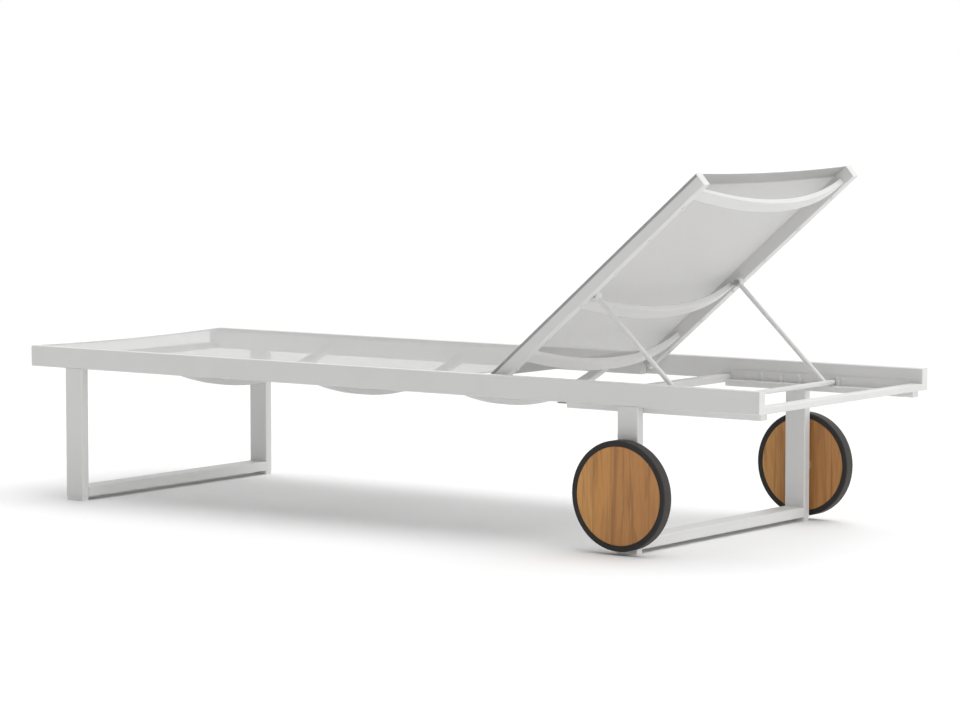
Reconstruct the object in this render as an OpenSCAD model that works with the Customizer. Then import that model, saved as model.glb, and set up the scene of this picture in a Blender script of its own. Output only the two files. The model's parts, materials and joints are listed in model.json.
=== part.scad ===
// Reclining sun lounger: tubular frame, mesh slings, prop bail and two teak wheels.
// Origin on the ground under the middle of the frame; +Y runs to the head end, +X to the left
// hand of someone lying on it. Millimetres.

/* [Frame] */
// Length of the frame over its end caps
frame_l = 2000; // [1700:10:2400]
// Width over the side rails
frame_w = 696; // [580:2:840]
// Height of the rail tops above the ground
rail_top = 357; // [300:1:440]
// Height of the side rail tube
rail_h = 48; // [40:0.5:60]
// Width of the side rail tube, and of the legs
rail_w = 22.5; // [18:0.5:28]
// Wall of all rectangular tubes
tube_wall = 2; // [1.5:0.1:3]
// Outer corner radius of all rectangular tubes
tube_r = 2.5; // [2.2:0.1:4]
// Thickness of the end cap plates
cap_t = 2.5; // [1.5:0.5:4]

/* [Legs] */
// Depth of a leg tube along the lounger
leg_d = 51; // [40:1:62]
// Foot end of the frame to the foot legs
foot_leg_inset = 106; // [60:1:200]
// Head end of the frame to the head legs
head_leg_inset = 296; // [240:1:360]
// Height of the base bars
base_bar_h = 23; // [18:1:30]
// Height of the glides
glide_h = 9; // [5:0.5:14]

/* [Cross bars] */
// Depth of the foot bar and of the mid bar along the lounger
cross_bar_d = 25; // [20:1:32]
// Height of the foot bar and of the head bar
cross_bar_h = 15; // [10:0.5:16]
// Depth of the head bar
head_bar_d = 28; // [22:1:34]
// Height of the mid bar
mid_bar_h = 17; // [13:0.5:18]
// How far the mid bar hangs below the rails
mid_bar_drop = 6; // [4:0.5:10]

/* [Seat] */
// Width of a seat profile
seat_prof_w = 21.5; // [18:0.5:26]
// Gap between rail and seat profile
seat_gap = 6; // [5:0.5:9]
// Seat profile top below the rail top
seat_prof_drop = 6.5; // [5:0.5:9]
// Thickness of the sling solids
sling_t = 1.4; // [1:0.1:2.5]
// Foot end of the frame to the first seat bow
seat_bow_start = 373; // [200:1:420]
// Last seat bow to the backrest pins
seat_bow_end = 119.9; // [80:0.1:180]
// Top of a seat bow's ends above the rail undersides
seat_bow_rise = 24; // [16:1:28]
// Drop of a seat bow in its middle
seat_bow_sag = 60; // [40:1:75]

/* [Bows] */
// Width of every bow along the lounger
bow_w = 30; // [24:1:38]
// Thickness of every bow
bow_t = 13; // [9:0.5:16]

/* [Backrest] */
// Length of the backrest from its pins to the top
back_l = 688; // [560:1:830]
// Head end of the frame to the top of the backrest when it lies flat
back_clear = 5.1; // [3:0.1:30]
// Backrest angle as stored
recline = 40.2; // [20:0.1:57]
// Depth of the backrest, sling to underside
back_depth = 32; // [27:0.5:32]
// Width of a backrest profile
back_prof_w = 22.6; // [18:0.1:27]
// Gap between rail and backrest profile
back_gap = 11.5; // [9:0.5:15]
// Length of the profile below the pins
back_tail = 8; // [4:1:12]
// Pins to the lowest backrest bow
back_bow_low = 94; // [60:1:140]
// Gap between the second backrest bow and the bail's lugs
back_bow_gap = 2; // [1:0.5:20]
// Top of the backrest to its top bow
back_bow_top = 42; // [32:1:60]
// Backrest bow below the sling at its ends
back_bow_in = 13; // [10:1:16]
// Drop of a backrest bow in its middle
back_bow_sag = 47; // [30:1:55]
// Diameter of the backrest pins
hinge_d = 10; // [8:0.5:12]

/* [Prop bail] */
// Bail pivots below the sling
bail_in = 30.6; // [26:0.1:34]
// Diameter of the bail rod
bail_d = 11; // [9:0.5:14]
// Diameter of the bail pivot bolts
bail_pin_d = 8; // [6:0.5:9]

/* [Rack] */
// Width of the rack shelf
rack_w = 24.5; // [20:0.5:30]
// Height of the rack shelf
rack_h = 14; // [12:0.5:22]
// Head end of the frame to the end of the shelf
rack_inset = 10; // [4:1:30]
// Shelf between its foot end and the last catch
rack_lead = 81.7; // [40:0.1:100]
// Number of catches
catches = 5; // [3:1:6]
// Distance between catches
catch_pitch = 49; // [40:1:56]
// Height of a catch above the shelf
catch_h = 20; // [13:1:22]
// Length of a catch along the lounger
catch_l = 8; // [6:1:12]

/* [Wheels] */
// Outer radius of the tyre
tyre_r = 116.5; // [95:0.5:125]
// Width of the tyre
tyre_w = 26.5; // [22:0.5:34]
// Thickness of the tyre
tyre_t = 12.2; // [8:0.1:16]
// Gap between leg and wheel
wheel_gap = 8.5; // [5:0.5:14]
// Height of the tyre above the ground when the lounger stands on its legs
wheel_lift = 8; // [3:0.5:20]
// Diameter of the axles
axle_d = 12; // [10:0.5:16]

/* [Hidden] */
$fn = 64;

coat = "#e4e4e2";
mesh_cloth = "#d7d6d4";
nylon = "#efefec";
steel = "#b9bbbd";
teak = "#b9824d";
rubber = "#232120";
dark_spline = "#4a4a4a";

left = 1;
right = -1;
slip = 0.1;      // play of a plug in a tube and of a sheet on what carries it
running = 0.05;  // play of a hole round a pin that turns, on the radius
side_play = 0.3; // play beside a piece that turns on a pin
over = 1;        // how far a cut runs past the face that it opens

// frame
foot_y = -frame_l / 2;
head_y = frame_l / 2;
rail_x = frame_w / 2 - rail_w / 2;
rail_in = frame_w / 2 - rail_w;
rail_bottom = rail_top - rail_h;
foot_leg_y = foot_y + foot_leg_inset + leg_d / 2;
head_leg_y = head_y - head_leg_inset - leg_d / 2;
plug_l = 12;
bolt_head = 0.8; // radius of a bolt head or insert as a share of the bolt's diameter
bolt_head_t = 4;

// backrest pins
hinge_y = head_y - back_clear - back_l;
hinge_z = rail_top - back_depth / 2;
back_out = rail_in - back_gap;
back_in = back_out - back_prof_w;

// seat
seat_out = rail_in - seat_gap;
seat_in = seat_out - seat_prof_w;
seat_prof_top = rail_top - seat_prof_drop;
seat_prof_h = seat_prof_top - rail_bottom;
swing_gap = 4;
seat_end = hinge_y - norm([back_tail, back_depth / 2]) - swing_gap;
lip_w = 2.5;
lip_top = rail_top - sling_t - slip;
spline_r = 2.2;
spline_play = 0.4;
spline_drop = 7;
spline_in = 1;
sling_edge = rail_in - 2.5;
sling_hem = 2;
seat_bow_pitch = (hinge_y - foot_y - seat_bow_start - seat_bow_end) / 2;
spacers = 4;
spacer_l = 30;
spacer_inset = 20;
spacer_pitch = (seat_end - foot_y - 2 * spacer_inset) / (spacers - 1);

// backrest, in its own frame: y up the backrest from the pins, z square to the sling
back_top = back_depth / 2;
back_prof_h = back_depth - sling_t - slip;
back_prof_z = (back_top - sling_t - slip) - back_prof_h / 2;
back_spline_z = back_top - 6;
back_bow_high = back_l - back_bow_top;
back_screw_start = 60;
back_screw_pitch = 110;
back_screw_in = 7;
screw_head_r = 3.6;
screw_head_h = 1.8;
hinge_spacer_r = back_spline_z - spline_r - spline_play;

// bail: its arms are as long as its pivots are from the backrest pins, so that the foot rod stays
// close over the shelves, and folded up the rod lies just short of the top bow
fold_gap = 1.5;
fold_reach = back_bow_high - bow_w / 2 - fold_gap - bail_d / 2;
bail_l = fold_reach / 2;
lug_l = 32;
back_bow_mid = bail_l - lug_l / 2 - back_bow_gap - bow_w / 2;
back_bow_at = [back_bow_low, back_bow_mid, back_bow_high];
bail_pivot = [bail_l, back_top - bail_in];
bail_pivot_y = hinge_y + bail_pivot[0] * cos(recline) - bail_pivot[1] * sin(recline);
bail_pivot_z = hinge_z + bail_pivot[0] * sin(recline) + bail_pivot[1] * cos(recline);
bail_foot_lift = 2.5;
rack_top = rail_bottom; // the head bar lies on the shelf
bail_foot_z = rack_top + bail_d / 2 + bail_foot_lift;
bail_run = sqrt(bail_l * bail_l - pow(bail_pivot_z - bail_foot_z, 2));
bail_foot_y = bail_pivot_y + bail_run;
bail_slope = atan2(bail_pivot_z - bail_foot_z, bail_run);
lug_t = 4;
lug_h = 12;
lug_drop = 4;
eye_r = 10;
eye_t = bail_d + 1;
eye_bite = 2;
bail_x = back_in - lug_t - slip - eye_t / 2;

// rack
catch_in = 8;
catch_gap = 0.6;
catch_y = bail_foot_y + bail_d / 2 + catch_gap;
rack_start = catch_y - (catches - 1) * catch_pitch - rack_lead;
rack_end = head_y - rack_inset;
rack_flange_end = head_y - head_bar_d;
rack_flange_t = 2.5;
rack_flange_h = 22;
rack_screw_inset = 30;
rack_screw_pitch = 130;
rack_screw_drop = 5;
bail_tip_x = rail_in - catch_in - 1;

// wheels
wheel_z = tyre_r + wheel_lift;
wheel_x = frame_w / 2 + wheel_gap;
disc_inset = 0.5;
disc_r = tyre_r - tyre_t;
rib_w = 8;
rib_h = 4;
bush_r = 13;
bush_l = 16.5;
bush_flange_r = 22;
bush_flange_t = 3;
axle_head_r = 10;
axle_head_t = 3;
axle_start = rail_in + tube_wall; // the axle stops against the inner wall of the leg
axle_head_gap = 0.5;
axle_end = wheel_x + bush_l + axle_head_gap;
hub_pocket_spare = 2;
hub_pocket_d = bush_l + axle_head_t + hub_pocket_spare;
hub_screw_ring = 17.5;
hub_screw_h = 0.4;

// ---- sections and helpers ----

module round_rect(w, h, r) {
    square([w - 2 * r, h], center = true);
    square([w, h - 2 * r], center = true);
    for (x = [-1, 1], y = [-1, 1])
        translate([x * (w / 2 - r), y * (h / 2 - r)]) circle(r);
}

module tube_section(w, h) {
    difference() {
        round_rect(w, h, tube_r);
        square([w - 2 * tube_wall, h - 2 * tube_wall], center = true);
    }
}

module along_x(x0, x1, y, z) {
    translate([x0, y, z]) rotate([90, 0, 90]) linear_extrude(x1 - x0) children();
}

module along_y(y0, y1, x, z) {
    translate([x, y1, z]) rotate([90, 0, 0]) linear_extrude(y1 - y0) children();
}

module along_z(z0, z1, x, y) {
    translate([x, y, z0]) linear_extrude(z1 - z0) children();
}

module pin_x(x0, x1, y, z, r) {
    along_x(x0, x1, y, z) circle(r);
}

module sided(side) {
    if (side == left) children();
    else mirror([1, 0, 0]) children();
}

module both_sides() {
    children();
    mirror([1, 0, 0]) children();
}

module on_backrest() {
    translate([0, hinge_y, hinge_z]) rotate([recline, 0, 0]) children();
}

// Plate on the end of a tube with its plug inside; dir is the way that the plate faces
module tube_cap(w, h, dir) {
    along_y(min(0, dir * cap_t), max(0, dir * cap_t), 0, 0) round_rect(w, h, tube_r);
    along_y(min(0, -dir * plug_l), max(0, -dir * plug_l), 0, 0)
        square([w - 2 * (tube_wall + slip), h - 2 * (tube_wall + slip)], center = true);
}

// Flat tube bowed downwards between two faces at -half and +half, top of its ends at z = 0
module bow(half, sag) {
    r_top = (half * half + sag * sag) / (2 * sag);
    spare = 20;
    reach = 2 * asin(min(1, (half + spare) / r_top));
    intersection() {
        translate([0, 0, r_top - sag]) rotate([90, 0, 0])
            rotate([0, 0, -90 - reach / 2]) rotate_extrude(angle = reach, $fn = 180)
                translate([r_top + bow_t / 2, 0]) difference() {
                    round_rect(bow_t, bow_w, tube_r);
                    square([bow_t - 2 * tube_wall, bow_w - 2 * tube_wall], center = true);
                }
        translate([-half, -bow_w, -2 * sag - bow_t]) cube([2 * half, 2 * bow_w, 4 * sag + bow_t]);
    }
}

// ---- frame ----

module side_rail(side) {
    color(coat) sided(side) difference() {
        along_y(foot_y + cap_t, head_y - cap_t, rail_x, rail_top - rail_h / 2) tube_section(rail_w, rail_h);
        pin_x(rail_in - over, rail_in + tube_wall + over, hinge_y, hinge_z, hinge_d / 2 + slip);
    }
}

module rail_end_caps() {
    color(nylon) both_sides() {
        translate([rail_x, foot_y + cap_t, rail_top - rail_h / 2]) tube_cap(rail_w, rail_h, -1);
        translate([rail_x, head_y - cap_t, rail_top - rail_h / 2]) tube_cap(rail_w, rail_h, 1);
    }
}

module foot_cross_bar() {
    color(coat) along_x(-seat_in, seat_in, foot_y + cross_bar_d / 2, rail_bottom + cross_bar_h / 2)
        tube_section(cross_bar_d, cross_bar_h);
}

module mid_cross_bar() {
    color(coat) along_x(-rail_in, rail_in, rack_start - cross_bar_d / 2,
                        rail_bottom - mid_bar_drop + mid_bar_h / 2)
        tube_section(cross_bar_d, mid_bar_h);
}

module head_cross_bar() {
    color(coat) along_x(-rail_in, rail_in, head_y - head_bar_d / 2, rail_bottom + cross_bar_h / 2)
        tube_section(head_bar_d, cross_bar_h);
}

module seat_profile(side) {
    color(coat) sided(side) along_y(foot_y + cap_t, seat_end - cap_t, 0, 0) difference() {
        union() {
            translate([(seat_in + seat_out) / 2, rail_bottom + seat_prof_h / 2])
                round_rect(seat_prof_w, seat_prof_h, tube_r);
            translate([seat_out - lip_w, rail_bottom + seat_prof_h / 2])
                square([lip_w, lip_top - rail_bottom - seat_prof_h / 2]);
        }
        translate([seat_in + tube_wall, rail_bottom + tube_wall])
            square([seat_prof_w - 2 * tube_wall - 2 * spline_r, seat_prof_h - 2 * tube_wall]);
        translate([seat_out - spline_in, rail_top - spline_drop - spline_r]) circle(spline_r + spline_play);
    }
}

module seat_profile_caps() {
    w = seat_prof_w - 2 * tube_wall - 2 * spline_r - 2 * slip;
    h = seat_prof_h - 2 * (tube_wall + slip);
    x = (seat_in + seat_out) / 2;
    z = rail_bottom + seat_prof_h / 2;
    plug_x = seat_in + tube_wall + slip + w / 2;
    color(nylon) both_sides() {
        along_y(foot_y, foot_y + cap_t, x, z) round_rect(seat_prof_w, seat_prof_h, tube_r);
        along_y(foot_y + cap_t, foot_y + cap_t + plug_l, plug_x, z) square([w, h], center = true);
        along_y(seat_end - cap_t, seat_end, x, z) round_rect(seat_prof_w, seat_prof_h, tube_r);
        along_y(seat_end - cap_t - plug_l, seat_end - cap_t, plug_x, z) square([w, h], center = true);
    }
}

module seat_spacers() {
    lift = 1;
    color(coat) both_sides() for (i = [0 : spacers - 1])
        translate([seat_out, foot_y + spacer_inset + i * spacer_pitch - spacer_l / 2, rail_bottom + lift])
            cube([seat_gap, spacer_l, cross_bar_h]);
}

module seat_bow(i) {
    color(coat) translate([0, foot_y + seat_bow_start + i * seat_bow_pitch, rail_bottom + seat_bow_rise])
        bow(seat_in, seat_bow_sag);
}

module seat_sling() {
    color(mesh_cloth) translate([-sling_edge, foot_y + sling_hem, rail_top - sling_t])
        cube([2 * sling_edge, seat_end - foot_y - 2 * sling_hem, sling_t]);
}

module seat_splines() {
    color(dark_spline) both_sides()
        along_y(foot_y + cap_t, seat_end - cap_t, seat_out - spline_in, rail_top - spline_drop - spline_r)
            circle(spline_r);
}

// ---- legs ----

module leg(side, y) {
    color(coat) sided(side) along_z(glide_h, rail_bottom, rail_x, y) tube_section(rail_w, leg_d);
}

module wheel_leg(side) {
    color(coat) difference() {
        leg(side, head_leg_y);
        sided(side) pin_x(axle_start, frame_w / 2 + over, head_leg_y, wheel_z, axle_d / 2);
    }
}

module base_bar(y) {
    color(coat) along_x(-rail_in, rail_in, y, glide_h + base_bar_h / 2) tube_section(leg_d, base_bar_h);
}

module glides() {
    inset = 1;
    color(nylon) both_sides() for (y = [foot_leg_y, head_leg_y]) {
        along_z(0, glide_h, rail_x, y) round_rect(rail_w - 2 * inset, leg_d - 2 * inset, tube_r);
        along_z(glide_h, glide_h + plug_l, rail_x, y)
            square([rail_w - 2 * (tube_wall + slip), leg_d - 2 * (tube_wall + slip)], center = true);
    }
}

// ---- rack ----

// Hooked lug: steep face to the foot end, ramp to the head end
module catch_outline() {
    hook = 1.2;
    hook_h = 8;
    crest = 2.8;
    ramp_h = 11;
    polygon([[0, 0], [0, catch_h - hook_h], [-hook, catch_h], [crest, catch_h],
             [catch_l, catch_h - ramp_h], [catch_l, 0]]);
}

module rack(side) {
    x = rail_in - rack_w / 2;
    color(coat) sided(side) {
        along_y(rack_start, rack_end - cap_t, x, rack_top - rack_h / 2) tube_section(rack_w, rack_h);
        translate([rail_in - rack_flange_t, rack_start, rack_top - tube_r])
            cube([rack_flange_t, rack_flange_end - rack_start, rack_flange_h + tube_r]);
        for (i = [0 : catches - 1])
            along_x(rail_in - catch_in, rail_in - rack_flange_t, catch_y - i * catch_pitch,
                    rack_top - tube_wall / 2)
                catch_outline();
    }
}

module rack_caps() {
    color(nylon) both_sides() translate([rail_in - rack_w / 2, rack_end - cap_t, rack_top - rack_h / 2])
        tube_cap(rack_w, rack_h, 1);
}

module rack_screws() {
    color(coat) both_sides()
        for (y = [rack_start + rack_screw_inset : rack_screw_pitch : rack_end - rack_screw_inset])
            pin_x(rail_in - rack_flange_t - screw_head_h, rail_in - rack_flange_t, y,
                  rack_top + rack_flange_h - rack_screw_drop, screw_head_r);
}

// ---- backrest pins ----

module hinge_bolts() {
    color(steel) both_sides() {
        pin_x(back_in - slip, rail_in + tube_wall + plug_l, hinge_y, hinge_z, hinge_d / 2);
        pin_x(back_in - slip - bolt_head_t, back_in - slip, hinge_y, hinge_z, hinge_d * bolt_head);
    }
}

module hinge_spacers() {
    color(nylon) both_sides() difference() {
        pin_x(back_out + side_play, rail_in, hinge_y, hinge_z, hinge_spacer_r);
        pin_x(back_out, rail_in + over, hinge_y, hinge_z, hinge_d / 2);
    }
}

module hinge_inserts() {
    color(steel) both_sides() difference() {
        pin_x(rail_in + tube_wall, rail_in + tube_wall + plug_l, hinge_y, hinge_z, hinge_d * bolt_head);
        pin_x(rail_in, rail_in + tube_wall + plug_l + over, hinge_y, hinge_z, hinge_d / 2);
    }
}

// ---- wheel axles ----

module wheel_axle(side) {
    color(steel) sided(side) {
        pin_x(axle_start, axle_end, head_leg_y, wheel_z, axle_d / 2);
        pin_x(axle_end, axle_end + axle_head_t, head_leg_y, wheel_z, axle_head_r);
    }
}

module axle_spacers() {
    color(nylon) both_sides() difference() {
        pin_x(frame_w / 2, wheel_x - side_play, head_leg_y, wheel_z, axle_d);
        pin_x(frame_w / 2 - over, wheel_x, head_leg_y, wheel_z, axle_d / 2);
    }
}

// ---- backrest ----

module back_profile(side) {
    x = (back_in + back_out) / 2;
    color(coat) sided(side) on_backrest() difference() {
        along_y(-back_tail, back_l - cap_t, x, back_prof_z) difference() {
            round_rect(back_prof_w, back_prof_h, tube_r);
            translate([-back_prof_w / 2 + tube_wall, -back_prof_h / 2 + tube_wall])
                square([back_prof_w - 2 * tube_wall - 2 * spline_r, back_prof_h - 2 * tube_wall]);
            translate([back_prof_w / 2 - spline_in, back_spline_z - back_prof_z])
                circle(spline_r + spline_play);
        }
        pin_x(back_in - over, back_out + over, 0, 0, hinge_d / 2 + running);
    }
}

module back_caps() {
    w = back_prof_w - 2 * tube_wall - 2 * spline_r - 2 * slip;
    h = back_prof_h - 2 * (tube_wall + slip);
    color(nylon) on_backrest() both_sides() {
        along_y(back_l - cap_t, back_l, (back_in + back_out) / 2, back_prof_z)
            round_rect(back_prof_w, back_prof_h, tube_r);
        along_y(back_l - cap_t - plug_l, back_l - cap_t, back_in + tube_wall + slip + w / 2, back_prof_z)
            square([w, h], center = true);
    }
}

module back_bow(i) {
    color(coat) on_backrest() translate([0, back_bow_at[i], back_top - back_bow_in])
        bow(back_in, back_bow_sag);
}

module back_sling() {
    color(mesh_cloth) on_backrest()
        translate([-back_out, -back_tail + sling_hem, back_top - sling_t])
            cube([2 * back_out, back_l + back_tail - 2 * sling_hem, sling_t]);
}

module back_splines() {
    color(dark_spline) on_backrest() both_sides()
        along_y(-back_tail, back_l - cap_t, back_out - spline_in, back_spline_z) circle(spline_r);
}

module back_screws() {
    color(coat) on_backrest() both_sides()
        for (s = [back_screw_start : back_screw_pitch : back_l - back_screw_start])
            along_z(back_prof_z - back_prof_h / 2 - screw_head_h, back_prof_z - back_prof_h / 2,
                    back_in + back_screw_in, s)
                circle(screw_head_r);
}

// ---- bail ----

module bail_lugs() {
    color(coat) on_backrest() both_sides() difference() {
        union() {
            pin_x(back_in - lug_t, back_in, bail_pivot[0], bail_pivot[1], eye_r);
            translate([back_in - lug_t, bail_pivot[0] - lug_l / 2, bail_pivot[1] + lug_drop])
                cube([lug_t, lug_l, lug_h]);
            translate([back_in - lug_t, bail_pivot[0] - eye_r, bail_pivot[1]])
                cube([lug_t, 2 * eye_r, lug_drop + over]);
        }
        pin_x(back_in - lug_t - over, back_in + over, bail_pivot[0], bail_pivot[1], bail_pin_d / 2);
    }
}

module bail_bolts() {
    eye_in = bail_x - eye_t / 2 - slip;
    color(steel) on_backrest() both_sides() {
        pin_x(eye_in, back_in, bail_pivot[0], bail_pivot[1], bail_pin_d / 2);
        pin_x(eye_in - bolt_head_t, eye_in, bail_pivot[0], bail_pivot[1], bail_pin_d * bolt_head);
    }
}

module bail_arm(side) {
    color(coat) sided(side) difference() {
        union() {
            translate([bail_x, bail_pivot_y, bail_pivot_z]) rotate([-90 - bail_slope, 0, 0])
                translate([0, 0, eye_r - eye_bite]) cylinder(h = bail_l - eye_r + eye_bite, d = bail_d);
            pin_x(bail_x - eye_t / 2, bail_x + eye_t / 2, bail_pivot_y, bail_pivot_z, eye_r);
        }
        pin_x(bail_x - bail_d, bail_x + bail_d, bail_pivot_y, bail_pivot_z, bail_pin_d / 2 + running);
        pin_x(bail_x - bail_d, bail_x + bail_d, bail_foot_y, bail_foot_z, bail_d / 2);
    }
}

module bail_foot_rod() {
    color(coat) pin_x(-bail_tip_x + cap_t, bail_tip_x - cap_t, bail_foot_y, bail_foot_z, bail_d / 2);
}

module bail_tips() {
    color(nylon) both_sides()
        pin_x(bail_tip_x - cap_t, bail_tip_x, bail_foot_y, bail_foot_z, bail_d / 2);
}

// ---- wheels ----

module wheel_place(side) {
    sided(side) translate([wheel_x, head_leg_y, wheel_z]) rotate([0, 90, 0]) children();
}

module tyre(side) {
    edge = 2.5;
    color(rubber) wheel_place(side) rotate_extrude($fn = 180) {
        translate([disc_r + tyre_t / 2, tyre_w / 2]) round_rect(tyre_t, tyre_w, edge);
        translate([disc_r, 0]) square([edge, tyre_w]);
        translate([disc_r - rib_h, (tyre_w - rib_w) / 2]) square([rib_h + over, rib_w]);
    }
}

module wheel_disc(side) {
    rim = 1;
    color(teak) wheel_place(side) difference() {
        rotate_extrude($fn = 180)
            polygon([[0, disc_inset], [disc_r - rim, disc_inset], [disc_r, disc_inset + rim],
                     [disc_r, (tyre_w - rib_w) / 2], [disc_r - rib_h, (tyre_w - rib_w) / 2],
                     [disc_r - rib_h, (tyre_w + rib_w) / 2], [disc_r, (tyre_w + rib_w) / 2],
                     [disc_r, tyre_w - disc_inset - rim], [disc_r - rim, tyre_w - disc_inset],
                     [0, tyre_w - disc_inset]]);
        cylinder(h = hub_pocket_d, r = bush_r);
        cylinder(h = disc_inset + bush_flange_t, r = bush_flange_r);
    }
}

module hub_bush(side) {
    color(nylon) wheel_place(side) difference() {
        union() {
            translate([0, 0, disc_inset]) cylinder(h = bush_flange_t, r = bush_flange_r);
            translate([0, 0, disc_inset]) cylinder(h = bush_l - disc_inset, r = bush_r);
        }
        translate([0, 0, -over]) cylinder(h = bush_l + 2 * over, r = axle_d / 2 + running);
    }
}

module hub_screws(side) {
    color(steel) wheel_place(side) for (a = [90, 210, 330])
        rotate([0, 0, a]) translate([hub_screw_ring, 0, disc_inset - hub_screw_h])
            cylinder(h = hub_screw_h, r = screw_head_r);
}

side_rail(left);  // side_rail_left
side_rail(right);  // side_rail_right
rail_end_caps();
foot_cross_bar();
mid_cross_bar();
head_cross_bar();
seat_profile(left);  // seat_profile_left
seat_profile(right);  // seat_profile_right
seat_profile_caps();
seat_spacers();
seat_bow(0);  // seat_bow_1
seat_bow(1);  // seat_bow_2
seat_bow(2);  // seat_bow_3
seat_sling();
seat_splines();
leg(left, foot_leg_y);  // foot_leg_left
leg(right, foot_leg_y);  // foot_leg_right
base_bar(foot_leg_y);  // foot_base_bar
wheel_leg(left);  // head_leg_left
wheel_leg(right);  // head_leg_right
base_bar(head_leg_y);  // head_base_bar
glides();
rack(left);  // rack_left
rack(right);  // rack_right
rack_caps();
rack_screws();
hinge_bolts();
hinge_spacers();
hinge_inserts();
wheel_axle(left);  // wheel_axle_left
wheel_axle(right);  // wheel_axle_right
axle_spacers();
back_profile(left);  // back_profile_left
back_profile(right);  // back_profile_right
back_caps();
back_bow(0);  // back_bow_1
back_bow(1);  // back_bow_2
back_bow(2);  // back_bow_3
back_sling();
back_splines();
back_screws();
bail_lugs();
bail_bolts();
bail_arm(left);  // bail_arm_left
bail_arm(right);  // bail_arm_right
bail_foot_rod();
bail_tips();
wheel_disc(left);  // wheel_disc_left
tyre(left);  // tyre_left
hub_bush(left);  // hub_bush_left
hub_screws(left);  // hub_screws_left
wheel_disc(right);  // wheel_disc_right
tyre(right);  // tyre_right
hub_bush(right);  // hub_bush_right
hub_screws(right);  // hub_screws_right
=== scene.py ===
import json
import math

import bpy
from mathutils import Matrix, Vector


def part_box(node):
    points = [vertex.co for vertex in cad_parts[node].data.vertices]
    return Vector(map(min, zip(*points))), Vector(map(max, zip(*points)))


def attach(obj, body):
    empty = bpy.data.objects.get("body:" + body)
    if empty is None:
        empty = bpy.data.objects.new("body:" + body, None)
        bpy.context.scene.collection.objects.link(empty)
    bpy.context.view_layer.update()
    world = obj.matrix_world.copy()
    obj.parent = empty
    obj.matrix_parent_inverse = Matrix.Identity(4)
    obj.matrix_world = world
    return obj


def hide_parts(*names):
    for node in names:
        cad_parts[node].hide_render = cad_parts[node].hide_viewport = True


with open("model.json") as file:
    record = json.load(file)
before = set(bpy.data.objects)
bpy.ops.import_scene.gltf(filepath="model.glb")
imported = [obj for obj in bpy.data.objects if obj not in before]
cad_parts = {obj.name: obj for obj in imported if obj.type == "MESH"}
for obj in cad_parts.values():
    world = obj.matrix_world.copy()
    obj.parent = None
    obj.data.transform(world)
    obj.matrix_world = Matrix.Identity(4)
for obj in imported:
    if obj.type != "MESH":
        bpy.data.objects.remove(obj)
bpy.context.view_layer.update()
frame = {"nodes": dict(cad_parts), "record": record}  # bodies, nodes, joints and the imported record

scene = bpy.context.scene
mm = 0.001
print("stage 1: frame of the lounger loaded,", len(frame["nodes"]), "parts")


# small helpers

def linear(code):
    # sRGB hex to the linear colour that a shader wants
    parts = [int(code[i:i + 2], 16) / 255 for i in (1, 3, 5)]
    return [c / 12.92 if c <= 0.04045 else ((c + 0.055) / 1.055) ** 2.4 for c in parts] + [1.0]


def addNode(tree, kind, values=None, links=None, **settings):
    node = tree.nodes.new("ShaderNode" + kind)
    for name, value in settings.items():
        setattr(node, name, value)
    for name, value in (values or {}).items():
        node.inputs[name].default_value = value
    for name, source in (links or {}).items():
        tree.links.new(source, node.inputs[name])
    return node


def ends(side, values):
    # both ends of one side of a range node, "From" or "To"
    return dict(zip((side + " Min", side + " Max"), values))


def emptyMaterial(name):
    material = bpy.data.materials.new(name)
    material.use_nodes = True
    material.node_tree.nodes.clear()
    return material, material.node_tree


def meshPiece(name, points, faces, finish, smooth=True):
    mesh = bpy.data.meshes.new(name)
    mesh.from_pydata(points, [], faces)
    mesh.materials.append(finish)
    mesh.polygons.foreach_set("use_smooth", [smooth] * len(faces))
    mesh.update()
    piece = bpy.data.objects.new(name, mesh)
    scene.collection.objects.link(piece)
    return piece


# camera, floor and lights

shot = {
    "place": (6.731, 4.932, 1.058),  # eye height, off the head end on the left side
    "yaw": -144.03,                  # degrees from +X
    "pitch": -4.86,
    "lens": 138.8,
    "sensor": 36,
    "clipEnd": 600,                  # metres, beyond the floor's far edge
}
floorLook = {
    "tone": "#F8F8F8", "grain": "#F4F4F4", "grainMm": 900, "roughness": 0.85,
    "rings": (2.0, 6.0, 18.0, 60.0, 240.0), "spokes": 48,  # metres; far enough out to hide its edge
}
studio = {
    "sky": "#FFFFFF",
    "skyLevel": 1.0,
    "sideLevel": 0.04,               # a darker side above eye level keeps the long faces grey
    "sideWay": (0.95, -0.30, 0.0),
    "sideTurn": (-0.25, 0.55),       # cosine of the angle to it, from where it starts to where it is full
    "sideFrom": (0.08, 0.29),        # height, as the sine of the elevation, where it sets in
    "lamps": {
        # a large softbox overhead, a little to the head end; spread in degrees
        "softKey": {"from": (-0.04, 0.16, 1.0), "spread": 64, "level": 1.7},
        # a weak low fill that reaches the faces under the seat
        "lowFill": {"from": (0.62, 0.78, 0.22), "spread": 40, "level": 0.3},
    },
    "lampTone": "#FFFFFF",
}

camera = bpy.data.objects.new("camera", bpy.data.cameras.new("camera"))
scene.collection.objects.link(camera)
camera.location = shot["place"]
yaw, pitch = math.radians(shot["yaw"]), math.radians(shot["pitch"])
gaze = Vector((math.cos(yaw) * math.cos(pitch), math.sin(yaw) * math.cos(pitch), math.sin(pitch)))
camera.rotation_euler = gaze.to_track_quat("-Z", "Y").to_euler()
camera.data.sensor_width = shot["sensor"]
camera.data.lens = shot["lens"]
camera.data.clip_end = shot["clipEnd"]
scene.camera = camera
scene.view_settings.view_transform = "Standard"

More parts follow.
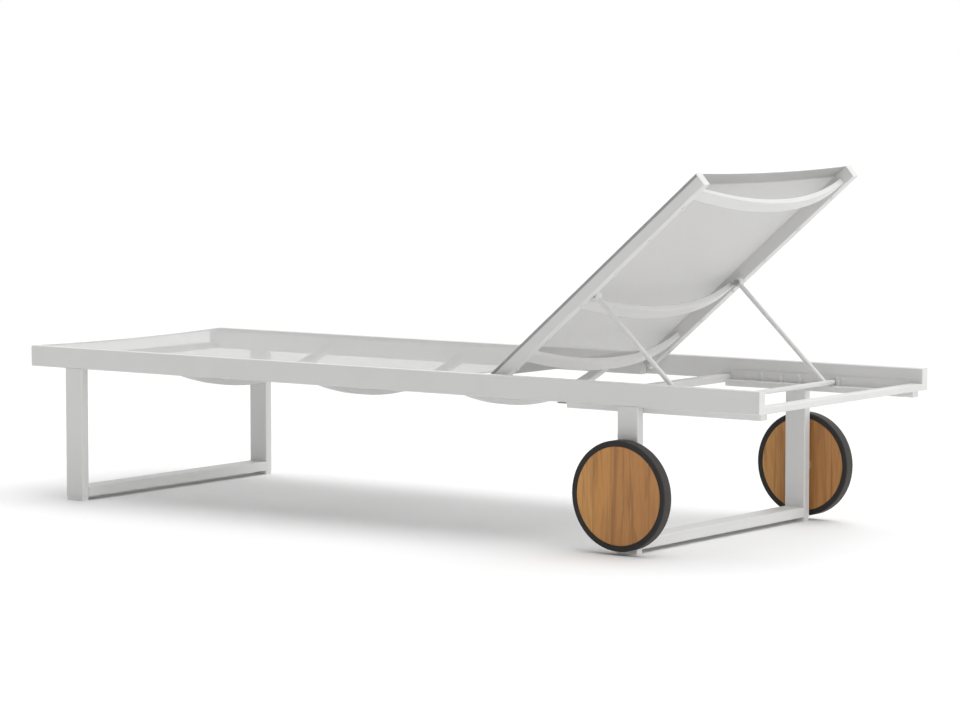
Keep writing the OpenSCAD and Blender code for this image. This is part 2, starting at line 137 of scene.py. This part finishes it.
# matt painted studio floor, barely mottled so that it reads as a surface and not as a void
studioFloor, tree = emptyMaterial("mattStudioFloor")
coords = addNode(tree, "TexCoord")
cloud = addNode(tree, "TexNoise", {"Scale": 1000 / floorLook["grainMm"], "Detail": 3},
                {"Vector": coords.outputs["Object"]})
tone = addNode(tree, "Mix", {6: linear(floorLook["tone"]), 7: linear(floorLook["grain"])},
               {0: cloud.outputs["Fac"]}, data_type="RGBA")
surface = addNode(tree, "BsdfPrincipled",
                  {"Roughness": floorLook["roughness"], "IOR": 1.5, "Specular IOR Level": 0.2},
                  {"Base Color": tone.outputs[2]})
addNode(tree, "OutputMaterial", links={"Surface": surface.outputs[0]})

spokes = floorLook["spokes"]
points = [(0, 0, 0)]
for radius in floorLook["rings"]:
    for i in range(spokes):
        turn = 2 * math.pi * i / spokes
        points.append((radius * math.cos(turn), radius * math.sin(turn), 0))
faces = [(0, 1 + i, 1 + (i + 1) % spokes) for i in range(spokes)]
for ring in range(len(floorLook["rings"]) - 1):
    a, b = 1 + ring * spokes, 1 + (ring + 1) * spokes
    faces += [(a + i, b + i, b + (i + 1) % spokes, a + (i + 1) % spokes) for i in range(spokes)]
meshPiece("studioFloor", points, faces, studioFloor)

# world: white all round, dimmer above eye level on the left side
world = bpy.data.worlds.new("studio")
world.use_nodes = True
scene.world = world
tree = world.node_tree
tree.nodes.clear()
coords = addNode(tree, "TexCoord")
facing = addNode(tree, "VectorMath", {1: Vector(studio["sideWay"]).normalized()},
                 {0: coords.outputs["Generated"]}, operation="DOT_PRODUCT")
turned = addNode(tree, "MapRange", ends("From", studio["sideTurn"]),
                 {"Value": facing.outputs["Value"]}, interpolation_type="SMOOTHSTEP")
rise = addNode(tree, "SeparateXYZ", links={"Vector": coords.outputs["Generated"]})
raised = addNode(tree, "MapRange", ends("From", studio["sideFrom"]),
                 {"Value": rise.outputs["Z"]}, interpolation_type="SMOOTHSTEP")
dim = addNode(tree, "Math", links={0: turned.outputs[0], 1: raised.outputs[0]}, operation="MULTIPLY")
level = addNode(tree, "MapRange", {"To Min": studio["skyLevel"], "To Max": studio["sideLevel"]},
                {"Value": dim.outputs[0]})
sky = addNode(tree, "Background", {"Color": linear(studio["sky"])}, {"Strength": level.outputs[0]})
addNode(tree, "OutputWorld", links={"Surface": sky.outputs[0]})

for name, lamp in studio["lamps"].items():
    light = bpy.data.lights.new(name, "SUN")
    light.angle = math.radians(lamp["spread"])
    light.energy = lamp["level"]
    light.color = linear(studio["lampTone"])[:3]
    holder = bpy.data.objects.new(name, light)
    holder.rotation_euler = (-Vector(lamp["from"])).to_track_quat("-Z", "Y").to_euler()
    scene.collection.objects.link(holder)
print("stage 2: camera, floor and lights")


# materials

# polyester powder coat on aluminium tube, sprayed and baked: an even satin white with a fine
# orange peel that only breaks up the highlights, a shade greyer where hands and rain reach it
coatLook = {
    "tone": "#D9D9D8", "rubbed": "#D6D6D4", "patchMm": 140,
    "handled": (0.45, 0.72), "roughness": (0.38, 0.48),
    "peelMm": 4.0, "peelDepth": 0.05,  # real peel is 1 to 2 mm wide, drawn coarser to show
}
powderCoat, tree = emptyMaterial("powderCoatSatin")
coords = addNode(tree, "TexCoord")
patches = addNode(tree, "TexNoise", {"Scale": 1000 / coatLook["patchMm"], "Detail": 4, "Roughness": 0.6},
                  {"Vector": coords.outputs["Object"]})
handled = addNode(tree, "MapRange", ends("From", coatLook["handled"]),
                  {"Value": patches.outputs["Fac"]})
tone = addNode(tree, "Mix", {6: linear(coatLook["tone"]), 7: linear(coatLook["rubbed"])},
               {0: handled.outputs[0]}, data_type="RGBA")
gloss = addNode(tree, "MapRange", ends("To", coatLook["roughness"]),
                {"Value": patches.outputs["Fac"]})
peel = addNode(tree, "TexNoise", {"Scale": 1000 / coatLook["peelMm"], "Detail": 2},
               {"Vector": coords.outputs["Object"]})
relief = addNode(tree, "Bump", {"Strength": 0.35, "Distance": coatLook["peelDepth"] * mm},
                 {"Height": peel.outputs["Fac"]})
surface = addNode(tree, "BsdfPrincipled", {"IOR": 1.5, "Metallic": 0.0},
                  {"Base Color": tone.outputs[2], "Roughness": gloss.outputs[0],
                   "Normal": relief.outputs[0]})
addNode(tree, "OutputMaterial", links={"Surface": surface.outputs[0]})

# white nylon 6, injection moulded with a fine spark-eroded grain: matt and slightly waxy
nylonLook = {"tone": "#DFDFDD", "shade": "#D6D6D3", "cloudMm": 30, "roughness": (0.45, 0.6),
             "grainMm": 1.5, "grainDepth": 0.06}
mouldedNylon, tree = emptyMaterial("mouldedNylonWhite")
coords = addNode(tree, "TexCoord")
cloud = addNode(tree, "TexNoise", {"Scale": 1000 / nylonLook["cloudMm"], "Detail": 3},
                {"Vector": coords.outputs["Object"]})
tone = addNode(tree, "Mix", {6: linear(nylonLook["tone"]), 7: linear(nylonLook["shade"])},
               {0: cloud.outputs["Fac"]}, data_type="RGBA")
grain = addNode(tree, "TexNoise", {"Scale": 1000 / nylonLook["grainMm"], "Detail": 2},
                {"Vector": coords.outputs["Object"]})
gloss = addNode(tree, "MapRange", ends("To", nylonLook["roughness"]),
                {"Value": grain.outputs["Fac"]})
relief = addNode(tree, "Bump", {"Strength": 0.3, "Distance": nylonLook["grainDepth"] * mm},
                 {"Height": grain.outputs["Fac"]})
surface = addNode(tree, "BsdfPrincipled", {"IOR": 1.53},
                  {"Base Color": tone.outputs[2], "Roughness": gloss.outputs[0],
                   "Normal": relief.outputs[0]})
addNode(tree, "OutputMaterial", links={"Surface": surface.outputs[0]})

# stainless steel, turned and lightly brushed: grey metal with a soft streaked shine
steelLook = {"tone": "#B9BABB", "dull": "#9C9DA0", "streakMm": 1.2, "lengthMm": 14,
             "roughness": (0.22, 0.44), "scratchDepth": 0.02}
brushedSteel, tree = emptyMaterial("brushedStainless")
coords = addNode(tree, "TexCoord")
fine = 1000 / steelLook["streakMm"]
drawn = addNode(tree, "Mapping", {"Scale": (1000 / steelLook["lengthMm"], fine, fine)},
                {"Vector": coords.outputs["Object"]})
streaks = addNode(tree, "TexNoise", {"Scale": 1.0, "Detail": 3}, {"Vector": drawn.outputs[0]})
tone = addNode(tree, "Mix", {6: linear(steelLook["tone"]), 7: linear(steelLook["dull"])},
               {0: streaks.outputs["Fac"]}, data_type="RGBA")
gloss = addNode(tree, "MapRange", ends("To", steelLook["roughness"]),
                {"Value": streaks.outputs["Fac"]})
relief = addNode(tree, "Bump", {"Strength": 0.2, "Distance": steelLook["scratchDepth"] * mm},
                 {"Height": streaks.outputs["Fac"]})
surface = addNode(tree, "BsdfPrincipled", {"Metallic": 1.0},
                  {"Base Color": tone.outputs[2], "Roughness": gloss.outputs[0],
                   "Normal": relief.outputs[0]})
addNode(tree, "OutputMaterial", links={"Surface": surface.outputs[0]})

# soft PVC keder, extruded: a mid grey satin cord with faint draw lines along it
kederLook = {"tone": "#929294", "pale": "#A3A3A4", "lineMm": 1.6, "linesPerMetre": 22, "lineDepth": 0.05,
             "roughness": 0.55}
extrudedKeder, tree = emptyMaterial("extrudedKederGrey")
coords = addNode(tree, "TexCoord")
fine = 1000 / kederLook["lineMm"]
drawn = addNode(tree, "Mapping", {"Scale": (fine, kederLook["linesPerMetre"], fine)},
                {"Vector": coords.outputs["Object"]})
lines = addNode(tree, "TexNoise", {"Scale": 1.0, "Detail": 2}, {"Vector": drawn.outputs[0]})
tone = addNode(tree, "Mix", {6: linear(kederLook["tone"]), 7: linear(kederLook["pale"])},
               {0: lines.outputs["Fac"]}, data_type="RGBA")
relief = addNode(tree, "Bump", {"Strength": 0.3, "Distance": kederLook["lineDepth"] * mm},
                 {"Height": lines.outputs["Fac"]})
surface = addNode(tree, "BsdfPrincipled", {"Roughness": kederLook["roughness"], "IOR": 1.52},
                  {"Base Color": tone.outputs[2], "Normal": relief.outputs[0]})
addNode(tree, "OutputMaterial", links={"Surface": surface.outputs[0]})

# oiled teak, planed staves glued edge to edge: each stave its own brown, long fine pores along
# the grain, darker late-wood bands, a thin dark glue line between staves
teakLook = {
    "staves": ["#CD9755", "#C9914E", "#C48A47", "#B98145", "#C78E4A", "#BC8443", "#CA9256"],
    "staveMm": 46, "offset": 0.36,     # share of a stave by which the joints miss the hub
    "edgeMm": 1.3, "edgeShare": 0.55,  # glue lines are under 1 mm, drawn wider to show
    "stavesEachSide": 3,
    "poreMm": 1.6, "poreLengthMm": 42, "bandMm": 19, "bandLengthMm": 230,
    "jump": (0.7, 3.1, 5.3),           # metres by which the grain can shift from stave to stave
    "late": (0.45, 0.75, 0.7), "open": (0.55, 0.72, 0.5),  # noise from, to, and the share it darkens
    "dark": "#7F512C", "glue": "#7A5435", "roughness": (0.42, 0.62), "reliefMm": 0.15,
}
wheelHub = (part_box("wheel_disc_left")[0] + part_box("wheel_disc_left")[1]) / 2
oiledTeak, tree = emptyMaterial("oiledTeakStaves")
coords = addNode(tree, "TexCoord")
split = addNode(tree, "SeparateXYZ", links={"Vector": coords.outputs["Object"]})
along = addNode(tree, "Math", {1: wheelHub.y}, {0: split.outputs["Y"]}, operation="SUBTRACT")
count = addNode(tree, "Math", {1: 1 / (teakLook["staveMm"] * mm), 2: teakLook["offset"]},
                {0: along.outputs[0]}, operation="MULTIPLY_ADD")
stave = addNode(tree, "Math", links={0: count.outputs[0]}, operation="FLOOR")
within = addNode(tree, "Math", links={0: count.outputs[0]}, operation="FRACT")
sideOf = addNode(tree, "Math", {1: 0.0}, {0: split.outputs["X"]}, operation="GREATER_THAN")
seed = addNode(tree, "CombineXYZ", links={"X": stave.outputs[0], "Y": sideOf.outputs[0]})
lot = addNode(tree, "TexWhiteNoise", links={"Vector": seed.outputs[0]}, noise_dimensions="3D")
sideStaves = teakLook["stavesEachSide"]
pick = addNode(tree, "MapRange", {"From Min": -sideStaves, "From Max": sideStaves},
               {"Value": stave.outputs[0]})
staveTone = addNode(tree, "ValToRGB", links={"Fac": pick.outputs[0]})
staveTone.color_ramp.interpolation = "CONSTANT"
stops = staveTone.color_ramp.elements
for i, code in enumerate(teakLook["staves"]):
    stop = stops[i] if i < 2 else stops.new(0.5)
    stop.position = max(0.0, i / (2 * sideStaves) - 0.08)  # a little before the value that picks it
    stop.color = linear(code)
jump = addNode(tree, "VectorMath", {1: teakLook["jump"]}, {0: lot.outputs["Color"]}, operation="MULTIPLY")
shifted = addNode(tree, "VectorMath", links={0: coords.outputs["Object"], 1: jump.outputs[0]},
                  operation="ADD")
poreSpace, bandSpace = [
    addNode(tree, "Mapping", {"Scale": (1000 / wide, 1000 / wide, 1000 / tall)},
            {"Vector": shifted.outputs[0]})
    for wide, tall in ((teakLook["poreMm"], teakLook["poreLengthMm"]),
                       (teakLook["bandMm"], teakLook["bandLengthMm"]))]
pores = addNode(tree, "TexNoise", {"Scale": 1.0, "Detail": 4, "Roughness": 0.65},
                {"Vector": poreSpace.outputs[0]})
bands = addNode(tree, "TexNoise", {"Scale": 1.0, "Detail": 3, "Distortion": 1.0},
                {"Vector": bandSpace.outputs[0]})
lateWood, poreMask = [
    addNode(tree, "MapRange", dict(zip(("From Min", "From Max", "To Max"), teakLook[name])),
            {"Value": noise.outputs["Fac"]})
    for name, noise in (("late", bands), ("open", pores))]
banded = addNode(tree, "Mix", {7: linear(teakLook["dark"])},
                 {0: lateWood.outputs[0], 6: staveTone.outputs["Color"]}, data_type="RGBA")
pored = addNode(tree, "Mix", {7: linear(teakLook["dark"])},
                {0: poreMask.outputs[0], 6: banded.outputs[2]}, data_type="RGBA")
offEdge = addNode(tree, "Math", {1: 0.5}, {0: within.outputs[0]}, operation="SUBTRACT")
fromMiddle = addNode(tree, "Math", links={0: offEdge.outputs[0]}, operation="ABSOLUTE")
glueLine = addNode(tree, "MapRange",
                   {"From Min": 0.5 - teakLook["edgeMm"] / teakLook["staveMm"], "From Max": 0.5,
                    "To Max": teakLook["edgeShare"]},
                   {"Value": fromMiddle.outputs[0]})
glued = addNode(tree, "Mix", {7: linear(teakLook["glue"])},
                {0: glueLine.outputs[0], 6: pored.outputs[2]}, data_type="RGBA")
gloss = addNode(tree, "MapRange", ends("To", teakLook["roughness"]),
                {"Value": pores.outputs["Fac"]})
depth = addNode(tree, "Math", links={0: poreMask.outputs[0], 1: glueLine.outputs[0]}, operation="ADD")
relief = addNode(tree, "Bump", {"Strength": 0.5, "Distance": teakLook["reliefMm"] * mm},
                 {"Height": depth.outputs[0]}, invert=True)
surface = addNode(tree, "BsdfPrincipled", {"IOR": 1.5, "Coat Weight": 0.08, "Coat Roughness": 0.35},
                  {"Base Color": glued.outputs[2], "Roughness": gloss.outputs[0],
                   "Normal": relief.outputs[0]})
addNode(tree, "OutputMaterial", links={"Surface": surface.outputs[0]})

# solid black rubber, compression moulded: matt black side walls, the tread greyed by dust
rubberLook = {"tone": "#201E1D", "dust": "#45413D", "treadMm": 3.0, "speckMm": 9,
              "roughness": (0.6, 0.82), "grainMm": 2.2, "grainDepth": 0.12}
tyreRadius = (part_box("tyre_left")[1].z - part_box("tyre_left")[0].z) / 2
mouldedRubber, tree = emptyMaterial("mouldedTyreRubber")
coords = addNode(tree, "TexCoord")
fromHub = addNode(tree, "VectorMath", {1: (0.0, wheelHub.y, wheelHub.z)}, {0: coords.outputs["Object"]},
                  operation="SUBTRACT")
flat = addNode(tree, "VectorMath", {1: (0.0, 1.0, 1.0)}, {0: fromHub.outputs[0]}, operation="MULTIPLY")
reach = addNode(tree, "VectorMath", links={0: flat.outputs[0]}, operation="LENGTH")
tread = addNode(tree, "MapRange", {"From Min": tyreRadius - rubberLook["treadMm"] * mm,
                                   "From Max": tyreRadius}, {"Value": reach.outputs["Value"]})
speckle = addNode(tree, "TexNoise", {"Scale": 1000 / rubberLook["speckMm"], "Detail": 5, "Roughness": 0.7},
                  {"Vector": coords.outputs["Object"]})
dusty = addNode(tree, "Math", links={0: tread.outputs[0], 1: speckle.outputs["Fac"]}, operation="MULTIPLY")
tone = addNode(tree, "Mix", {6: linear(rubberLook["tone"]), 7: linear(rubberLook["dust"])},
               {0: dusty.outputs[0]}, data_type="RGBA")
gloss = addNode(tree, "MapRange", ends("To", rubberLook["roughness"]),
                {"Value": speckle.outputs["Fac"]})
grain = addNode(tree, "TexNoise", {"Scale": 1000 / rubberLook["grainMm"], "Detail": 3},
                {"Vector": coords.outputs["Object"]})
relief = addNode(tree, "Bump", {"Strength": 0.4, "Distance": rubberLook["grainDepth"] * mm},
                 {"Height": grain.outputs["Fac"]})
surface = addNode(tree, "BsdfPrincipled", {"IOR": 1.52},
                  {"Base Color": tone.outputs[2], "Roughness": gloss.outputs[0],
                   "Normal": relief.outputs[0]})
addNode(tree, "OutputMaterial", links={"Surface": surface.outputs[0]})

# PVC-coated polyester mesh, plain woven: square holes let the light and what is behind through,
# the round coated threads give it a soft sheen and a fine grid
clothLook = {
    "thread": "#B8B7B6", "weft": "#B1B0AF",
    "pitchMm": 3.4,                    # about twice the usual spacing, since finer threads shimmer
    "threadShare": 0.56, "softness": 0.16, "bundleMm": 27.2, "bundleShare": 0.22, "slubMm": 60,
    "roughness": 0.55, "threadDepth": 0.25,
    "sheen": 1.0, "sheenRoughness": 0.25,  # brightens the cloth where it is seen almost edge on
}
wovenMesh, tree = emptyMaterial("wovenTextileMesh")
cloth = addNode(tree, "UVMap", uv_map="clothMetres")
split = addNode(tree, "SeparateXYZ", links={"Vector": cloth.outputs[0]})
threads = {}
for way in ("X", "Y"):
    steps = addNode(tree, "Math", {1: 1000 / clothLook["pitchMm"]}, {0: split.outputs[way]},
                    operation="MULTIPLY")
    cell = addNode(tree, "Math", links={0: steps.outputs[0]}, operation="FRACT")
    centred = addNode(tree, "Math", {1: 0.5}, {0: cell.outputs[0]}, operation="SUBTRACT")
    away = addNode(tree, "Math", links={0: centred.outputs[0]}, operation="ABSOLUTE")
    covered = addNode(tree, "MapRange",
                      {"From Min": clothLook["threadShare"] / 2 + clothLook["softness"],
                       "From Max": clothLook["threadShare"] / 2 - clothLook["softness"]},
                      {"Value": away.outputs[0]})
    crown = addNode(tree, "MapRange", {"From Min": clothLook["threadShare"] / 2, "From Max": 0.0},
                    {"Value": away.outputs[0]})
    number = addNode(tree, "Math", links={0: steps.outputs[0]}, operation="FLOOR")
    threads[way] = {"covered": covered, "crown": crown, "number": number}
cover, crossing = [
    addNode(tree, "Math", operation=step,
            links={0: threads["X"][part].outputs[0], 1: threads["Y"][part].outputs[0]})
    for part, step in (("covered", "MAXIMUM"), ("number", "ADD"))]
turn = addNode(tree, "Math", {1: 2.0}, {0: crossing.outputs[0]}, operation="MODULO")
turnUp = addNode(tree, "Math", links={0: turn.outputs[0]}, operation="ABSOLUTE")
height = addNode(tree, "Mix", links={0: turnUp.outputs[0], 2: threads["X"]["crown"].outputs[0],
                                     3: threads["Y"]["crown"].outputs[0]}, data_type="FLOAT")
bundles = addNode(tree, "TexChecker", {"Scale": 1000 / clothLook["bundleMm"]}, {"Vector": cloth.outputs[0]})
slubSpace = addNode(tree, "Mapping",
                    {"Scale": (1000 / clothLook["pitchMm"], 1000 / clothLook["slubMm"], 1.0)},
                    {"Vector": cloth.outputs[0]})
slubs = addNode(tree, "TexNoise", {"Scale": 1.0, "Detail": 2}, {"Vector": slubSpace.outputs[0]})
mixed = addNode(tree, "Math", {1: clothLook["bundleShare"]},
                {0: bundles.outputs["Fac"], 2: slubs.outputs["Fac"]}, operation="MULTIPLY_ADD")
tone = addNode(tree, "Mix", {6: linear(clothLook["thread"]), 7: linear(clothLook["weft"])},
               {0: mixed.outputs[0]}, data_type="RGBA")
relief = addNode(tree, "Bump", {"Strength": 0.6, "Distance": clothLook["threadDepth"] * mm},
                 {"Height": height.outputs[0]})
surface = addNode(tree, "BsdfPrincipled",
                  {"Roughness": clothLook["roughness"], "IOR": 1.5,
                   "Sheen Weight": clothLook["sheen"], "Sheen Roughness": clothLook["sheenRoughness"]},
                  {"Base Color": tone.outputs[2], "Alpha": cover.outputs[0], "Normal": relief.outputs[0]})
addNode(tree, "OutputMaterial", links={"Surface": surface.outputs[0]})

# bonded polyester sewing thread: white, twisted, a little shiny
threadLook = {"tone": "#EFEFED", "shade": "#CFCFCC", "twistMm": 1.2, "roughness": 0.5, "sheen": 0.2}
sewingThread, tree = emptyMaterial("bondedSewingThread")
coords = addNode(tree, "TexCoord")
twist = addNode(tree, "TexNoise", {"Scale": 1000 / threadLook["twistMm"], "Detail": 1},
                {"Vector": coords.outputs["Object"]})
tone = addNode(tree, "Mix", {6: linear(threadLook["tone"]), 7: linear(threadLook["shade"])},
               {0: twist.outputs["Fac"]}, data_type="RGBA")
surface = addNode(tree, "BsdfPrincipled",
                  {"Roughness": threadLook["roughness"], "IOR": 1.5, "Sheen Weight": threadLook["sheen"]},
                  {"Base Color": tone.outputs[2]})
addNode(tree, "OutputMaterial", links={"Surface": surface.outputs[0]})

finishes = {"coat": powderCoat, "nylon": mouldedNylon, "mesh": wovenMesh, "spline": extrudedKeder,
            "steel": brushedSteel, "teak": oiledTeak, "tyre": mouldedRubber}
for part in frame["record"]["subparts"]:
    frame["nodes"][part["node"]].material_slots[0].material = finishes[part["material_slot"]]


# slings

# each sling has its own frame: across from the middle, up from one end, off square to the cloth
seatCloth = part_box("seat_sling")
backCorners = [v.co for v in frame["nodes"]["back_sling"].data.vertices]
lowCorner, topCorner = min(backCorners, key=lambda c: c.y), max(backCorners, key=lambda c: c.z)
lean = math.atan2(topCorner.z - lowCorner.z, topCorner.y - lowCorner.y)
seatFrame = Matrix.Translation((0, seatCloth[0].y, seatCloth[1].z))
backFrame = Matrix.Translation((0, lowCorner.y, lowCorner.z)) @ Matrix.Rotation(lean, 4, "X")
toBack = backFrame.inverted()
backSide = [toBack @ v.co for v in frame["nodes"]["back_profile_left"].data.vertices]

seatSling = {
    "name": "seatSling", "body": "frame", "node": "seat_sling", "frame": seatFrame,
    "length": seatCloth[1].y - seatCloth[0].y,
    "bendFrom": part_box("seat_profile_left")[1].x - 1.5 * mm,  # where the cloth starts to turn down
    "bend": 2.54 * mm,
    "bendTop": -0.41 * mm,     # middle of the cloth below the sling's top plane
    "drop": 3.6 * mm,          # straight run down to the groove after the bend
    "sag": 5.0 * mm, "pull": 3.5 * mm, "thick": 0.8 * mm, "hem": 24 * mm,
    "holders": ["seat_profile_left", "seat_profile_right"],
}
backSling = {
    "name": "backSling", "body": "backrest", "node": "back_sling", "frame": backFrame,
    "length": (topCorner - lowCorner).length,
    "bendFrom": max(c.x for c in backSide) - 2.5 * mm,
    "bend": 2.95 * mm,
    "bendTop": -1.05 * mm,
    "drop": 0.2 * mm,
    "sag": 5.0 * mm, "pull": 4.5 * mm, "thick": 0.8 * mm, "hem": 34 * mm,
    "holders": ["back_profile_left", "back_profile_right"],
}


slingShape = {
    "ease": 0.08,              # metres over which a free end eases back to straight
    "endSag": 0.82,            # sag at the free ends as a share of the sag in the middle
    "rows": 72, "flatSteps": 20, "bendSteps": 6,
    "lap": 0.05 * mm,          # how far the edge turns back into the groove
}
hemShape = {"margin": 3 * mm, "edge": 0.4 * mm, "gap": 0.1 * mm, "steps": 40, "rows": 5}
stitch = {
    "length": 4.6 * mm, "pitch": 6.4 * mm, "width": 1.1 * mm, "height": 0.45 * mm,
    "margin": 5 * mm, "rows": (5 * mm, 19 * mm),
    # corners of a stitch as shares of its length, width and height
    "corners": ((-0.5, 0, 0), (-0.3, -0.5, 0), (-0.3, 0, 1), (-0.3, 0.5, 0),
                (0.3, -0.5, 0), (0.3, 0, 1), (0.3, 0.5, 0), (0.5, 0, 0)),
    "faces": ((0, 2, 1), (0, 3, 2), (1, 2, 5, 4), (2, 3, 6, 5), (4, 5, 7), (5, 6, 7),
              (0, 1, 4, 7, 6, 3)),
}


def onSling(sling, across, up, off=0.0):
    # place of a point of the cloth: it sags in the middle, and its free ends draw in
    share = min(1.0, abs(across) / sling["bendFrom"])
    slack = 1 - share * share
    fromEnd = min(up, sling["length"] - up)
    drawn = sling["pull"] * slack * math.exp(-fromEnd / slingShape["ease"])
    up = up + drawn if up < sling["length"] / 2 else up - drawn
    endSag = slingShape["endSag"]
    dip = sling["sag"] * slack * (endSag + (1 - endSag) * math.sin(math.pi * up / sling["length"]))
    return sling["frame"] @ Vector((across, up, sling["bendTop"] - dip + off))


def crossLine(sling):
    # half of the cloth's section: (across, off, straight distance along the cloth)
    flatSteps, bendSteps = slingShape["flatSteps"], slingShape["bendSteps"]
    line = [(sling["bendFrom"] * i / flatSteps, 0.0) for i in range(flatSteps + 1)]
    for i in range(1, bendSteps + 1):
        turn = math.pi / 2 * i / bendSteps
        line.append((sling["bendFrom"] + sling["bend"] * math.sin(turn),
                     sling["bend"] * (math.cos(turn) - 1)))
    line.append((line[-1][0] - slingShape["lap"], line[-1][1] - sling["drop"]))
    measured, total = [], 0.0
    for i, spot in enumerate(line):
        if i:
            total += math.dist(spot, line[i - 1])
        measured.append((spot[0], spot[1], total))
    return measured


def clothPiece(name, points, faces, cloth):
    # a piece of mesh whose weave follows the flat cloth, in metres
    piece = meshPiece(name, points, faces, wovenMesh)
    layer = piece.data.uv_layers.new(name="clothMetres")
    for loop in piece.data.loops:
        layer.data[loop.index].uv = cloth[loop.vertex_index]
    return piece


def buildSling(sling):
    half = crossLine(sling)
    section = [(-a, o, -m) for a, o, m in reversed(half[1:])] + half
    rows = slingShape["rows"]
    points, cloth = [], []
    for r in range(rows + 1):
        up = sling["length"] * r / rows
        for across, off, measured in section:
            points.append(onSling(sling, across, up, off))
            cloth.append((measured, up))
    wide = len(section)
    faces = [(r * wide + c, r * wide + c + 1, (r + 1) * wide + c + 1, (r + 1) * wide + c)
             for r in range(rows) for c in range(wide - 1)]
    sling["flatWidth"] = 2 * half[-1][2]
    return clothPiece(sling["name"], points, faces, cloth)


def buildHems(sling):
    # turned-in ends: a second layer under the cloth at both ends, short of the lips it bends over
    gap = sling["thick"] + hemShape["gap"]
    reach = sling["bendFrom"] - hemShape["margin"]
    steps, deep = hemShape["steps"], hemShape["rows"]
    points, faces, cloth = [], [], []
    for start, way in ((0.0, 1), (sling["length"], -1)):
        base = len(points)
        for r in range(deep + 1):
            for c in range(steps + 1):
                across = reach * (2 * c / steps - 1)
                up = start + way * (hemShape["edge"] + sling["hem"] * r / deep)
                points.append(onSling(sling, across, up, -gap))
                cloth.append((across + 0.5 * clothLook["pitchMm"] * mm, up))
        wide = steps + 1
        for r in range(deep):
            for c in range(steps):
                a = base + r * wide + c
                faces.append((a, a + 1, a + wide + 1, a + wide)[::way])
    return clothPiece(sling["name"] + "Hems", points, faces, cloth)


def buildStitches(sling):
    # lockstitch rows that hold the hems: each stitch a small pillow lying on the cloth
    points, faces = [], []
    reach = sling["bendFrom"] - stitch["margin"]
    count = int(2 * reach / stitch["pitch"])
    for start, way in ((0.0, 1), (sling["length"], -1)):
        for row in stitch["rows"]:
            up = start + way * row
            for i in range(count):
                middle = -reach + (i + 0.5) * 2 * reach / count
                base = len(points)
                lift = sling["thick"] / 2
                for along, wide, high in stitch["corners"]:
                    points.append(onSling(sling, middle + along * stitch["length"],
                                          up + wide * stitch["width"], lift + high * stitch["height"]))
                faces += [tuple(base + k for k in face) for face in stitch["faces"]]
    return meshPiece(sling["name"] + "Stitching", points, faces, sewingThread, smooth=False)


for sling in (seatSling, backSling):
    cloth = buildSling(sling)
    hems = buildHems(sling)
    seams = buildStitches(sling)
    for piece in (cloth, hems, seams):
        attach(piece, sling["body"])
    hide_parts(sling["node"])
print("stage 4: slings, hems and stitching")
